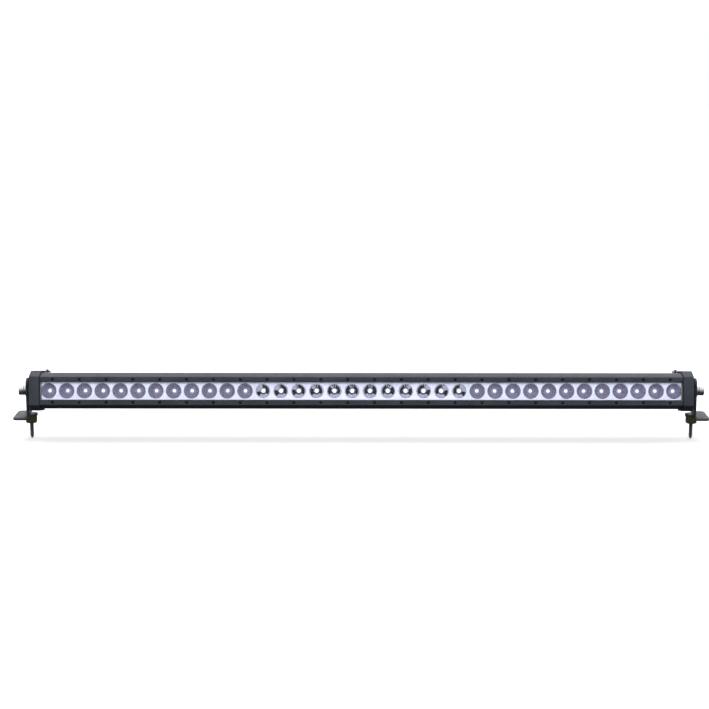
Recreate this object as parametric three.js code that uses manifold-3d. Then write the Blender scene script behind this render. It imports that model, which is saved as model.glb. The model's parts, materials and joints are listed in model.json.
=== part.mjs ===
// LED light bar on two end brackets. Millimetres, +Z up, beam towards -Y, bar along X.
// The origin is midway between the feet, on the surface that the bar is bolted to.
// The lamp is built about its tilt axis, level, and is then tilted back to its rest pose.
import * as THREE from 'three';
import { mergeVertices } from 'three/addons/utils/BufferGeometryUtils.js';
import Module from 'manifold-3d';

const wasm = await Module();
wasm.setup();

// ---- Driving dimensions ----
const LED_COUNT = 36;
const LED_PITCH = 25.75;
const BOARD_LEDS = 12;           // LEDs on each of the three boards
const GAP = 0.3;                 // kept between pieces that touch

const REST_TILT = THREE.MathUtils.degToRad(12);
const PIVOT_Z = 48.3;            // tilt axis above the mounting surface

// Housing section, seen from the end: y is depth (front negative), z is height
const FRONT_Y = -29.5;           // front of the lens retainers
const BACK_Y = 29.5;
const HOUSING_HALF_LENGTH = 461.6;
const HOUSING_HALF_HEIGHT = 26;
const FACE_HALF_HEIGHT = 20.2;   // flat front face
const SHOULDER_DEPTH = 17;       // depth of the slanted band above and below the face
const RETAINER_THICKNESS = 2;
const WINDOW_HALF_HEIGHT = 13;
const LENS_HALF_HEIGHT = 14.4;
const LENS_THICKNESS = 3;
const LENS_GASKET_THICKNESS = 1.2;
const CHAMBER_HALF_HEIGHT = 12.9;
const WEB_FRONT_Y = -7;          // wall that the LED boards are pressed against
const WEB_BACK_Y = -3;
const DRIVER_BACK_Y = 8;
const FIN_ROOT_Y = 11;
const FIN_COUNT = 9;
const FIN_THICKNESS = 1.8;

const OPTIC_RADIUS = 11.1;
const CUP_RADIUS = 10.2;
const OPTIC_BACK_Y = -10;
const BOARD_THICKNESS = 1.6;
const PAD_THICKNESS = 0.5;

const END_GASKET_THICKNESS = 1.4;
const CAP_THICKNESS = 14.4;
const CAP_HALF_HEIGHT = 29;
const CAP_FACE_HALF_HEIGHT = 21;
const CAP_ROOF_BACK_Y = 17;
const CAP_WALL = 3.5;
const CAP_SCREWS = [-12, 6];     // depth of the two screw rows
const CAP_SCREW_Z = 19.8;
const TONGUE_LENGTH = 9;         // roof tongue that reaches over the housing
const TONGUE_SCREW_Y = 10;

const LIP_SCREW_COUNT = 24;
const LIP_SCREW_Z = 16.6;

const BRACKET_THICKNESS = 3;
const BRACKET_INNER_X = 483.4;
const LEG_HALF_WIDTH = 10;
const LEG_RISE = 19;             // above the tilt axis
const FOOT_FRONT_Y = -30;
const FOOT_BACK_Y = 20;
const FOOT_OUTER_X = 503;
const FOOT_CORNER = 6;
const TAB_RADIUS = 9.4;
const STUD_X = 481.7;
const STUD_Y = 3;
const STUD_RADIUS = 3;
const STUD_LENGTH = 23;          // below the mounting surface
const SPACER_FLATS = 15;
const SPACER_HEIGHT = 10.5;
const BOLT_RADIUS = 4;
const BOLT_HEAD_RADIUS = 6.5;
const BOLT_HEAD_LENGTH = 7;
const FLAT_WASHER = 1.4;
const SPRING_WASHER = 1.8;
const BOLT_REACH = 23;           // shank under the head

// ---- Places worked out from them ----
const shoulderRise = HOUSING_HALF_HEIGHT - FACE_HALF_HEIGHT;
const housingFrontY = FRONT_Y + RETAINER_THICKNESS + GAP;
const shoulderAt = (y) => FACE_HALF_HEIGHT + shoulderRise * (y - FRONT_Y) / SHOULDER_DEPTH;
const lensBackY = housingFrontY + LENS_THICKNESS;
const ledgeY = lensBackY + LENS_GASKET_THICKNESS + 2 * GAP;
const opticFrontY = ledgeY + GAP;
const boardFrontY = OPTIC_BACK_Y + GAP;
const padFrontY = boardFrontY + BOARD_THICKNESS + GAP;
const gasketX = HOUSING_HALF_LENGTH + GAP;
const capInnerX = gasketX + END_GASKET_THICKNESS + GAP;
const capOuterX = capInnerX + CAP_THICKNESS;
const legOuterX = BRACKET_INNER_X + BRACKET_THICKNESS;
const footBottomZ = SPACER_HEIGHT + GAP;
const footTopZ = footBottomZ + BRACKET_THICKNESS;
const capMiddleX = (capInnerX + capOuterX) / 2;

// ---- Materials ----
const finish = (color, roughness, metalness) => () =>
  new THREE.MeshStandardMaterial({ color, roughness, metalness });
const coatedAluminium = finish(0x24282d, 0.45, 0.3);
const castCap = finish(0x2c3036, 0.5, 0.3);
const clearPlastic = () => new THREE.MeshStandardMaterial(
  { color: 0xeaf0f8, roughness: 0.05, metalness: 0, transparent: true, opacity: 0.35 });
const opticPlastic = finish(0xc9cde0, 0.2, 0);
const mirrorPlastic = finish(0xdfe3ee, 0.08, 1);
const siliconeRubber = finish(0x16171a, 0.8, 0);
const padSilicone = finish(0x9aa3b0, 0.9, 0);
const whiteBoard = finish(0xe9ebee, 0.5, 0);
const greenBoard = finish(0x1f5a37, 0.5, 0);
const stainless = finish(0xb4b6ba, 0.3, 1);
const blackSteel = finish(0x1d1f22, 0.45, 0.6);
const yellowZinc = finish(0x5a5438, 0.4, 0.8);
const greySteel = finish(0x77797d, 0.4, 0.9);
const blackNylon = finish(0x1a1b1e, 0.6, 0);

// ---- Geometry helpers ----
const SECTION_TO_X = new THREE.Matrix4().makeBasis(
  new THREE.Vector3(0, 1, 0), new THREE.Vector3(0, 0, 1), new THREE.Vector3(1, 0, 0));

// Outlines may be drawn either way round: the shape's runs anticlockwise
function shapeOf(points, holes = []) {
  const outline = points.map(([u, v]) => new THREE.Vector2(u, v));
  if (THREE.ShapeUtils.isClockWise(outline)) outline.reverse();
  const shape = new THREE.Shape(outline);
  for (const hole of holes) {
    shape.holes.push(new THREE.Path(hole.map(([u, v]) => new THREE.Vector2(u, v))));
  }
  return shape;
}

function circle(u, v, radius, sides = 8) {
  return Array.from({ length: sides }, (_, i) => {
    const angle = 2 * Math.PI * (i + 0.5) / sides;
    return [u + radius * Math.cos(angle), v + radius * Math.sin(angle)];
  });
}

function hexagon(acrossFlats) {
  return Array.from({ length: 6 }, (_, i) => {
    const angle = i * Math.PI / 3;
    const radius = acrossFlats / Math.sqrt(3);
    return [radius * Math.cos(angle), radius * Math.sin(angle)];
  });
}

// A section drawn in depth and height, extruded along X from x0 to x1
function alongX(points, x0, x1, holes = []) {
  const geometry = new THREE.ExtrudeGeometry(shapeOf(points, holes),
    { depth: Math.abs(x1 - x0), bevelEnabled: false });
  return geometry.applyMatrix4(SECTION_TO_X).translate(Math.min(x0, x1), 0, 0);
}

// An outline drawn in x and z, extruded along Y from y0 to y1
function alongY(points, y0, y1, holes = []) {
  const geometry = new THREE.ExtrudeGeometry(shapeOf(points, holes),
    { depth: y1 - y0, bevelEnabled: false });
  return geometry.rotateX(Math.PI / 2).translate(0, y1, 0);
}

function alongZ(points, z0, z1, holes = []) {
  return new THREE.ExtrudeGeometry(shapeOf(points, holes),
    { depth: z1 - z0, bevelEnabled: false }).translate(0, 0, z0);
}

function block(x0, x1, y0, y1, z0, z1) {
  return new THREE.BoxGeometry(Math.abs(x1 - x0), y1 - y0, z1 - z0)
    .translate((x0 + x1) / 2, (y0 + y1) / 2, (z0 + z1) / 2);
}

// A profile of [radius, height] points turned about Z, then laid along the given axis
function turned(profile, axis = 'z', sides = 24) {
  const geometry = new THREE.LatheGeometry(profile.map(([r, h]) => new THREE.Vector2(r, h)), sides);
  if (axis === 'z') return geometry.rotateX(Math.PI / 2);
  if (axis === 'x') return geometry.rotateZ(-Math.PI / 2);
  return geometry;
}

function ring(outer, inner, x0, x1, sides = 24) {
  return alongX(circle(0, 0, outer, sides), x0, x1, [circle(0, 0, inner, sides)]);
}

function solid(geometry) {
  const bare = geometry.clone();
  bare.deleteAttribute('normal');
  bare.deleteAttribute('uv');
  const merged = mergeVertices(bare, 1e-4);
  const index = merged.index.array;
  const triVerts = [];
  for (let i = 0; i < index.length; i += 3) {
    const [a, b, c] = [index[i], index[i + 1], index[i + 2]];
    if (a !== b && b !== c && c !== a) triVerts.push(a, b, c);
  }
  return new wasm.Manifold(new wasm.Mesh({
    numProp: 3,
    vertProperties: new Float32Array(merged.attributes.position.array),
    triVerts: new Uint32Array(triVerts),
  }));
}

function geometryOf(manifold) {
  const mesh = manifold.getMesh();
  const geometry = new THREE.BufferGeometry();
  geometry.setAttribute('position', new THREE.BufferAttribute(mesh.vertProperties, 3));
  geometry.setIndex(new THREE.BufferAttribute(mesh.triVerts, 1));
  geometry.computeVertexNormals();
  return geometry;
}

function combine(base, added, removed) {
  let result = solid(base);
  for (const geometry of added) result = result.add(solid(geometry));
  for (const geometry of removed) result = result.subtract(solid(geometry));
  return geometryOf(result);
}

// ---- Assembly ----
const bar = new THREE.Group();
const lamp = new THREE.Group();
lamp.position.set(0, 0, PIVOT_Z);
lamp.rotation.x = -REST_TILT;
bar.add(lamp);

function place(parent, name, geometry, material) {
  const mesh = new THREE.Mesh(geometry, material());
  mesh.name = name;
  parent.add(mesh);
}

const SIDES = [['left', -1], ['right', 1]];
const mirrorZ = (points) => points.map(([y, z]) => [y, -z]).reverse();

// ---- Housing: one extrusion with the LED chamber, the driver channel and the rear fins ----
function finOutline() {
  const pitch = (2 * HOUSING_HALF_HEIGHT - FIN_THICKNESS) / (FIN_COUNT - 1);
  const points = [];
  for (let i = 0; i < FIN_COUNT; i++) {
    const middle = HOUSING_HALF_HEIGHT - FIN_THICKNESS / 2 - i * pitch;
    const reach = Math.abs(middle) + FIN_THICKNESS / 2;
    const chamfer = (BACK_Y - CAP_ROOF_BACK_Y) / (CAP_HALF_HEIGHT - CAP_FACE_HALF_HEIGHT);
    const tip = Math.min(BACK_Y - GAP, CAP_ROOF_BACK_Y + (CAP_HALF_HEIGHT - reach) * chamfer);
    const top = middle + FIN_THICKNESS / 2;
    const bottom = middle - FIN_THICKNESS / 2;
    if (i > 0) points.push([FIN_ROOT_Y, top]);
    points.push([tip, top], [tip, bottom]);
    if (i < FIN_COUNT - 1) points.push([FIN_ROOT_Y, bottom]);
  }
  return points;
}

function housingGeometry() {
  const recess = LENS_HALF_HEIGHT + GAP;
  const upperFront = [
    [WEB_FRONT_Y, CHAMBER_HALF_HEIGHT],
    [ledgeY, CHAMBER_HALF_HEIGHT],
    [ledgeY, recess],
    [housingFrontY, recess],
    [housingFrontY, shoulderAt(housingFrontY)],
    [FRONT_Y + SHOULDER_DEPTH, HOUSING_HALF_HEIGHT],
  ];
  const outline = [...upperFront, ...finOutline(), ...mirrorZ(upperFront)];
  const channel = CHAMBER_HALF_HEIGHT - 0.5;
  const groove = channel + 1.5;
  const driverHalf = [
    [WEB_BACK_Y, channel], [0.6, channel], [0.6, groove], [3, groove], [3, channel],
    [DRIVER_BACK_Y, channel],
  ];
  const pocket = [[-8.5, 16.4], [2.4, 16.4], [2.4, 23.4], [-8.5, 23.4]];
  const holes = [
    [...driverHalf, ...mirrorZ(driverHalf)],
    pocket,
    mirrorZ(pocket),
    ...CAP_SCREWS.flatMap((y) => [circle(y, CAP_SCREW_Z, 2), circle(y, -CAP_SCREW_Z, 2)]),
  ];
  const tapped = SIDES.map(([, side]) => turned(
    [[0, 0], [1.6, 0], [1.6, 12], [0, 12]], 'z', 8)
    .translate(side * (capInnerX - TONGUE_LENGTH + 3.8), TONGUE_SCREW_Y, HOUSING_HALF_HEIGHT - 8));
  return combine(alongX(outline, -HOUSING_HALF_LENGTH, HOUSING_HALF_LENGTH, holes), [], tapped);
}
place(lamp, 'housing_extrusion', housingGeometry(), coatedAluminium);

// ---- Front: lens, its gasket and the two screwed retainers ----
const lensHalfLength = HOUSING_HALF_LENGTH - GAP;
place(lamp, 'lens_cover', block(-lensHalfLength, lensHalfLength, housingFrontY, lensBackY,
  -LENS_HALF_HEIGHT, LENS_HALF_HEIGHT), clearPlastic);

const rectangle = (halfWidth, halfHeight) => [[-halfWidth, -halfHeight], [halfWidth, -halfHeight],
  [halfWidth, halfHeight], [-halfWidth, halfHeight]];
place(lamp, 'lens_gasket', alongY(rectangle(lensHalfLength, LENS_HALF_HEIGHT), lensBackY + GAP,
  lensBackY + GAP + LENS_GASKET_THICKNESS,
  [rectangle(lensHalfLength - 0.6, CHAMBER_HALF_HEIGHT + 0.2)]), siliconeRubber);

function retainerGeometry(side) {
  const back = FRONT_Y + RETAINER_THICKNESS;
  const section = [[FRONT_Y, WINDOW_HALF_HEIGHT], [back, WINDOW_HALF_HEIGHT],
    [back, shoulderAt(back)], [FRONT_Y, FACE_HALF_HEIGHT]];
  const strip = alongX(side > 0 ? section : mirrorZ(section), -HOUSING_HALF_LENGTH,
    HOUSING_HALF_LENGTH);
  const pitch = 1.5 * LED_PITCH;
  const holes = Array.from({ length: LIP_SCREW_COUNT }, (_, i) => turned(
    [[0, -1], [1.7, -1], [1.7, RETAINER_THICKNESS + 1], [0, RETAINER_THICKNESS + 1]], 'y', 6)
    .translate((i - (LIP_SCREW_COUNT - 1) / 2) * pitch, FRONT_Y, side * LIP_SCREW_Z));
  return combine(strip, [], holes);
}
place(lamp, 'upper_retainer', retainerGeometry(1), coatedAluminium);
place(lamp, 'lower_retainer', retainerGeometry(-1), coatedAluminium);

// ---- Optics, LED boards and thermal pads, in three equal lengths ----
const ledX = (i) => (i - (LED_COUNT - 1) / 2) * LED_PITCH;

function runOf(section) {
  const middle = (section - 1) * BOARD_LEDS * LED_PITCH;
  const half = BOARD_LEDS * LED_PITCH / 2 - GAP / 2;
  const end = HOUSING_HALF_LENGTH - GAP;
  return [Math.max(middle - half, -end), Math.min(middle + half, end)];
}

const leds = (section) => Array.from({ length: BOARD_LEDS }, (_, i) => ledX(section * BOARD_LEDS + i));
const opticHalfHeight = CHAMBER_HALF_HEIGHT - GAP;

function collimatorStrip(section) {
  const [x0, x1] = runOf(section);
  const flange = block(x0, x1, opticFrontY + 1, opticFrontY + 2.5, -opticHalfHeight, opticHalfHeight);
  const depth = OPTIC_BACK_Y - opticFrontY;
  const bodies = leds(section).map((x) => turned(
    [[0, 0], [OPTIC_RADIUS, 0], [OPTIC_RADIUS, 2.2], [5, depth], [0, depth]], 'y', 12)
    .translate(x, opticFrontY, 0));
  const sockets = leds(section).map((x) => turned(
    [[0, 0], [2.4, 0], [3, 6], [0, 6]], 'y', 6).translate(x, OPTIC_BACK_Y - 5, 0));
  return combine(flange, bodies, sockets);
}

function reflectorStrip(section) {
  const [x0, x1] = runOf(section);
  const body = block(x0, x1, opticFrontY, OPTIC_BACK_Y, -opticHalfHeight, opticHalfHeight);
  const depth = OPTIC_BACK_Y - opticFrontY;
  const cups = leds(section).map((x) => turned(
    [[0, -1], [CUP_RADIUS, -1], [CUP_RADIUS, 0], [CUP_RADIUS * 0.86, depth * 0.3],
      [CUP_RADIUS * 0.62, depth * 0.66], [3.4, depth + 1], [0, depth + 1]], 'y', 12)
    .translate(x, opticFrontY, 0));
  return combine(body, [], cups);
}

function boardGeometry(section) {
  const [x0, x1] = runOf(section);
  const back = boardFrontY + BOARD_THICKNESS;
  const board = block(x0, x1, boardFrontY, back, -opticHalfHeight, opticHalfHeight);
  const chips = leds(section).map((x) => block(x - 1.75, x + 1.75, boardFrontY - 1.5, boardFrontY + 0.5,
    -1.75, 1.75));
  return combine(board, chips, []);
}

place(lamp, 'collimator_strip_left', collimatorStrip(0), opticPlastic);
place(lamp, 'reflector_strip', reflectorStrip(1), mirrorPlastic);
place(lamp, 'collimator_strip_right', collimatorStrip(2), opticPlastic);
['left', 'centre', 'right'].forEach((name, section) => {
  const [x0, x1] = runOf(section);
  place(lamp, `led_board_${name}`, boardGeometry(section), whiteBoard);
  place(lamp, `thermal_pad_${name}`, block(x0 + 1, x1 - 1, padFrontY, padFrontY + PAD_THICKNESS,
    -opticHalfHeight, opticHalfHeight), padSilicone);
});

// ---- Driver board in its channel, with its coils and capacitors ----
function driverGeometry() {
  const half = 240;
  const board = block(-half, half, 1, 2.6, -13.4, 13.4);
  const parts = [];
  for (let i = 0; i < 6; i++) {
    const x = (i - 2.5) * 78;
    parts.push(turned([[0, 0], [5, 0], [5, 4.6], [0, 4.6]], 'y', 8).translate(x, 2.5, 4));
    parts.push(block(x - 26, x - 14, 2.5, 6.5, -9, 3));
  }
  return combine(board, parts, []);
}
place(lamp, 'driver_board', driverGeometry(), greenBoard);

// ---- End caps ----
function capOutline(inset = 0) {
  const upper = [
    [FRONT_Y + inset, CAP_FACE_HALF_HEIGHT - inset * 0.7],
    [FRONT_Y + SHOULDER_DEPTH + inset * 0.3, CAP_HALF_HEIGHT - inset],
    [CAP_ROOF_BACK_Y - inset * 0.3, CAP_HALF_HEIGHT - inset],
    [BACK_Y - inset, CAP_FACE_HALF_HEIGHT - inset * 0.7],
  ];
  return [...upper, ...mirrorZ(upper)];
}

const screwSpots = CAP_SCREWS.flatMap((y) => [[y, CAP_SCREW_Z], [y, -CAP_SCREW_Z]]);

function gasketGeometry(side) {
  const opening = [[-21, 12], [8, 12], [8, -12], [-21, -12]];
  const holes = [opening, ...screwSpots.map(([y, z]) => circle(y, z, 2.2, 8))];
  const outline = capOutline(0.7).map(([y, z]) =>
    [y, Math.sign(z) * Math.min(Math.abs(z), HOUSING_HALF_HEIGHT)]);
  return alongX(outline, side * gasketX, side * (gasketX + END_GASKET_THICKNESS), holes);
}

function capGeometry(side) {
  const floorX = capOuterX - 4;
  const shell = alongX(capOutline(), side * capInnerX, side * capOuterX);
  const cavity = alongX(capOutline(CAP_WALL), side * (capInnerX - 1), side * floorX);
  const tongue = block(side * (capInnerX - TONGUE_LENGTH), side * (capInnerX + 1), 0,
    CAP_ROOF_BACK_Y - 1, HOUSING_HALF_HEIGHT + GAP, CAP_HALF_HEIGHT);
  const towers = screwSpots.map(([y, z]) =>
    alongX(circle(y, z, 4.6), side * capInnerX, side * (capOuterX - 1)));
  const boss = alongX(circle(0, 0, 10, 24), side * (capInnerX + 1.5), side * (capOuterX - 1));
  const bores = screwSpots.map(([y, z]) =>
    alongX(circle(y, z, 2), side * (capInnerX - 2), side * (capOuterX + 1)));
  const counterbores = screwSpots.map(([y, z]) =>
    alongX(circle(y, z, 4), side * (capOuterX - 3.3), side * (capOuterX + 1)));
  const insertBore = alongX(circle(0, 0, 6.8, 24), side * (capInnerX + 1), side * (capOuterX + 1));
  const portRadius = 4.5;
  const port = turned([[0, 0], [portRadius, 0], [portRadius, 12], [0, 12]], 'y', 16)
    .translate(side * capMiddleX, BACK_Y - 6, 0);
  const tongueHole = turned([[0, 0], [1.6, 0], [1.6, 6], [0, 6]], 'z', 8)
    .translate(side * (capInnerX - TONGUE_LENGTH + 3.8), TONGUE_SCREW_Y, HOUSING_HALF_HEIGHT - 1);
  let result = solid(shell).subtract(solid(cavity)).add(solid(tongue)).add(solid(boss));
  for (const tower of towers) result = result.add(solid(tower));
  for (const cut of [...bores, ...counterbores, insertBore, port, tongueHole]) {
    result = result.subtract(solid(cut));
  }
  return geometryOf(result);
}

// A socket screw lying along X, head outwards
function capScrewGeometry(y, z, side) {
  const headX = capOuterX - 3.3 + GAP;
  const screw = turned([[0, -25], [1.6, -25], [1.6, 0], [3.5, 0], [3.5, 2.8], [1.5, 2.8], [1.5, 1],
    [0, 1]], 'x', 8);
  if (side < 0) screw.rotateY(Math.PI);
  return screw.translate(side * headX, y, z);
}

for (const [name, side] of SIDES) {
  place(lamp, `end_gasket_${name}`, gasketGeometry(side), siliconeRubber);
  place(lamp, `end_cap_${name}`, capGeometry(side), castCap);
  screwSpots.forEach(([y, z], i) => {
    place(lamp, `cap_screw_${name}_${i + 1}`, capScrewGeometry(y, z, side), blackSteel);
  });
  const tongueScrew = turned([[0, -6], [1.2, -6], [1.2, 0], [2.3, 0], [2.3, 1], [1.6, 1.6], [0, 1.6]],
    'z', 12);
  place(lamp, `tongue_screw_${name}`, tongueScrew.translate(
    side * (capInnerX - TONGUE_LENGTH + 3.8), TONGUE_SCREW_Y, CAP_HALF_HEIGHT + GAP), blackSteel);
}

// ---- Cable gland on the right cap's back, breather vent on the left one's ----
const glandBack = BACK_Y + GAP;
const glandFlange = alongY(hexagon(12).map(([u, v]) => [v, u]).reverse(), glandBack, glandBack + 4);
const glandNeck = turned([[0, -8], [4, -8], [4, 8], [0, 8]], 'y', 16).translate(0, glandBack + 2, 0);
const sealBore = turned([[0, -12], [3, -12], [3, 12], [0, 12]], 'y', 16).translate(0, glandBack + 2, 0);
place(lamp, 'gland_body', combine(glandFlange, [glandNeck], [sealBore])
  .translate(capMiddleX, 0, 0), blackNylon);
place(lamp, 'gland_seal', turned([[0, -4], [2.6, -4], [2.6, 7.5], [0, 7.5]], 'y', 16)
  .translate(capMiddleX, glandBack + 2, 0), siliconeRubber);
const nutProfile = [[4.4, 0], [6, 0], [6, 4.5], [4.6, 7.6], [3.2, 7.6], [3.2, 6.3], [4.4, 6.3], [4.4, 0]];
place(lamp, 'gland_nut', turned(nutProfile, 'y', 12)
  .translate(capMiddleX, glandBack + 4 + GAP, 0), blackNylon);
place(lamp, 'breather_vent', turned([[0, -6], [4, -6], [4, 0], [5.6, 0], [5.6, 2.4], [4.6, 3.2],
  [0, 3.2]], 'y', 16).translate(-capMiddleX, glandBack, 0), blackNylon);

// ---- Tilt pivots: insert, spacer, washers and bolt, from the cap outwards ----
const washerX = legOuterX + GAP;
const springX = washerX + FLAT_WASHER + GAP;
const headX = springX + SPRING_WASHER + GAP;
for (const [name, side] of SIDES) {
  place(lamp, `pivot_insert_${name}`, ring(6.5, BOLT_RADIUS + 0.3, side * (capInnerX + 3),
    side * (capOuterX - 0.2)), stainless);
  place(lamp, `pivot_spacer_${name}`, ring(10, BOLT_RADIUS + 0.4, side * (capOuterX + GAP),
    side * (BRACKET_INNER_X - GAP)), blackNylon);
  place(lamp, `flat_washer_${name}`, ring(8, BOLT_RADIUS + 0.3, side * washerX,
    side * (washerX + FLAT_WASHER)), stainless);
  place(lamp, `spring_washer_${name}`, ring(6.3, BOLT_RADIUS + 0.3, side * springX,
    side * (springX + SPRING_WASHER)), stainless);
  const bolt = turned([[0, -BOLT_REACH], [BOLT_RADIUS - 0.6, -BOLT_REACH],
    [BOLT_RADIUS, -BOLT_REACH + 0.8], [BOLT_RADIUS, 0], [BOLT_HEAD_RADIUS, 0],
    [BOLT_HEAD_RADIUS, BOLT_HEAD_LENGTH - 0.6], [BOLT_HEAD_RADIUS - 0.6, BOLT_HEAD_LENGTH],
    [0, BOLT_HEAD_LENGTH]], 'x');
  const socket = alongX(hexagon(6), BOLT_HEAD_LENGTH - 3.5, BOLT_HEAD_LENGTH + 1);
  const boltGeometry = combine(bolt, [], [socket]);
  if (side < 0) boltGeometry.rotateY(Math.PI);
  place(lamp, `tilt_bolt_${name}`, boltGeometry.translate(side * headX, 0, 0), stainless);
}

// ---- Brackets: a strap with a round top, standing on a foot with a round inner tab ----
function arc(u, v, radius, start, end, steps) {
  return Array.from({ length: steps + 1 }, (_, i) => {
    const angle = start + (end - start) * i / steps;
    return [u + radius * Math.cos(angle), v + radius * Math.sin(angle)];
  });
}

function bracketGeometry(side) {
  const quarter = Math.PI / 2;
  const strap = [
    [-LEG_HALF_WIDTH, footTopZ - 1],
    [LEG_HALF_WIDTH, footTopZ - 1],
    ...arc(0, PIVOT_Z + LEG_RISE - LEG_HALF_WIDTH, LEG_HALF_WIDTH, 0, 2 * quarter, 12),
  ];
  const leg = alongX(strap, side * BRACKET_INNER_X, side * legOuterX,
    [circle(0, PIVOT_Z, BOLT_RADIUS + 0.4, 24)]);
  const cornerX = FOOT_OUTER_X - FOOT_CORNER;
  const outline = [
    [BRACKET_INNER_X, FOOT_FRONT_Y],
    ...arc(cornerX, FOOT_FRONT_Y + FOOT_CORNER, FOOT_CORNER, -quarter, 0, 4),
    ...arc(cornerX, FOOT_BACK_Y - FOOT_CORNER, FOOT_CORNER, 0, quarter, 4),
    [BRACKET_INNER_X, FOOT_BACK_Y],
    ...arc(STUD_X, STUD_Y, TAB_RADIUS, quarter, 3 * quarter, 12),
    [BRACKET_INNER_X, STUD_Y - TAB_RADIUS],
  ];
  const foot = alongZ(outline.map(([x, y]) => [side * x, y]), footBottomZ, footTopZ);
  return combine(leg, [foot], []);
}

// ---- Feet: welded stud with a cone tip, and the hexagonal spacer around it ----
for (const [name, side] of SIDES) {
  place(bar, `bracket_${name}`, bracketGeometry(side), coatedAluminium);
  const stud = turned([[0, -STUD_LENGTH], [1, -STUD_LENGTH], [STUD_RADIUS, -STUD_LENGTH + 5.5],
    [STUD_RADIUS, SPACER_HEIGHT], [0, SPACER_HEIGHT]], 'z');
  place(bar, `mounting_stud_${name}`, stud.translate(side * STUD_X, STUD_Y, 0), greySteel);
  place(bar, `hex_spacer_${name}`, alongZ(hexagon(SPACER_FLATS), 0, SPACER_HEIGHT,
    [circle(0, 0, STUD_RADIUS + 0.3, 24)]).translate(side * STUD_X, STUD_Y, 0), yellowZinc);
}

export default bar;
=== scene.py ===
"""LED light bar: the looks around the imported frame. Metres, +Z up, beam towards -Y, bar along X."""
import json
import math

import bmesh
import bpy
from mathutils import Matrix, Vector


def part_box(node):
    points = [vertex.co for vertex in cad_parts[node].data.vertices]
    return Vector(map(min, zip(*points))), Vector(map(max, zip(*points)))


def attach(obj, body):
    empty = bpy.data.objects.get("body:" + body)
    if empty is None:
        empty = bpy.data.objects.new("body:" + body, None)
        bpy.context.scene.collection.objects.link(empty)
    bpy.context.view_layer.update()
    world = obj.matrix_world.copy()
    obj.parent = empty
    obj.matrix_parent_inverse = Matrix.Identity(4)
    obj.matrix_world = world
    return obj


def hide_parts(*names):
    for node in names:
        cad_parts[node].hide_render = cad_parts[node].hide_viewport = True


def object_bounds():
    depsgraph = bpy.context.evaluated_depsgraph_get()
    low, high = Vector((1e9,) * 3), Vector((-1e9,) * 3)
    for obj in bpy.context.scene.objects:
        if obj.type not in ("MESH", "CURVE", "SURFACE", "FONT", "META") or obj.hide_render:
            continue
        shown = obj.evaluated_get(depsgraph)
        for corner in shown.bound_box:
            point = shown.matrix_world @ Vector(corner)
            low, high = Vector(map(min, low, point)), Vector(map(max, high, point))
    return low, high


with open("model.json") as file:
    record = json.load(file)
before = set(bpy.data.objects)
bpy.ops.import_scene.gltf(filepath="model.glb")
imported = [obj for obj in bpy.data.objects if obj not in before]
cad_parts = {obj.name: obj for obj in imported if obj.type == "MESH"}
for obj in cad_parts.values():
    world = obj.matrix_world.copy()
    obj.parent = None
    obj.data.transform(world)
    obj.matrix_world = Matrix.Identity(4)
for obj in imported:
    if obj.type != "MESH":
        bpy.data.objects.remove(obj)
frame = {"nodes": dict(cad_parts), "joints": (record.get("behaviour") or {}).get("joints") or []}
cad_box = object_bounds()

MM = 0.001
TAU = 2 * math.pi

# ---- The lamp's own frame: level, with its tilt axis at the origin ----
REST_TILT = math.radians(12)
PIVOT = Vector(frame["joints"][0]["pos_m"])
LAMP = Matrix.Translation(PIVOT) @ Matrix.Rotation(-REST_TILT, 4, "X")
UNMOVED = Matrix.Identity(4)
SIDES = (("left", -1), ("right", 1))


def lamp_box(node):
    """Lowest and highest corner of a CAD node in the lamp's own frame."""
    inverse = LAMP.inverted()
    points = [inverse @ v.co for v in frame["nodes"][node].data.vertices]
    low = Vector(min(p[i] for p in points) for i in range(3))
    high = Vector(max(p[i] for p in points) for i in range(3))
    return low, high


# ---- Sizes, read from the frame where a node gives them ----
LED_COUNT = 36
LED_PITCH = 25.75 * MM
RUN_LEDS = 12
GAP = 0.3 * MM

housing_low, housing_high = lamp_box("housing_extrusion")
retainer_low, retainer_high = lamp_box("upper_retainer")
lens_low, lens_high = lamp_box("lens_cover")
optic_low, optic_high = lamp_box("reflector_strip")
cap_low, cap_high = lamp_box("end_cap_right")

FRONT_Y = retainer_low.y
FACE_Z = 20.2 * MM
WINDOW_Z = retainer_low.z
HOUSING_X = housing_high.x
HOUSING_Z = housing_high.z
SHOULDER_DEPTH = 17 * MM
RECESS_Z = lens_high.z + GAP
CHAMBER_Z = optic_high.z + GAP
WEB_Y = -7 * MM
FIN_ROOT_Y = 11 * MM
FIN_COUNT = 9
FIN_THICKNESS = 1.8 * MM
CAP_Z = cap_high.z
CAP_FACE_Z = 21 * MM
CAP_BACK_Y = 29.5 * MM
CAP_ROOF_BACK_Y = 17 * MM
CAP_OUTER_X = cap_high.x
CAP_INNER_X = CAP_OUTER_X - 14.4 * MM
LIP_SCREW_Z = 16.6 * MM
LIP_SCREW_COUNT = 24
CAP_SCREW_YZ = [(y * MM, z * 19.8 * MM) for y in (-12, 6) for z in (1, -1)]


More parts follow.
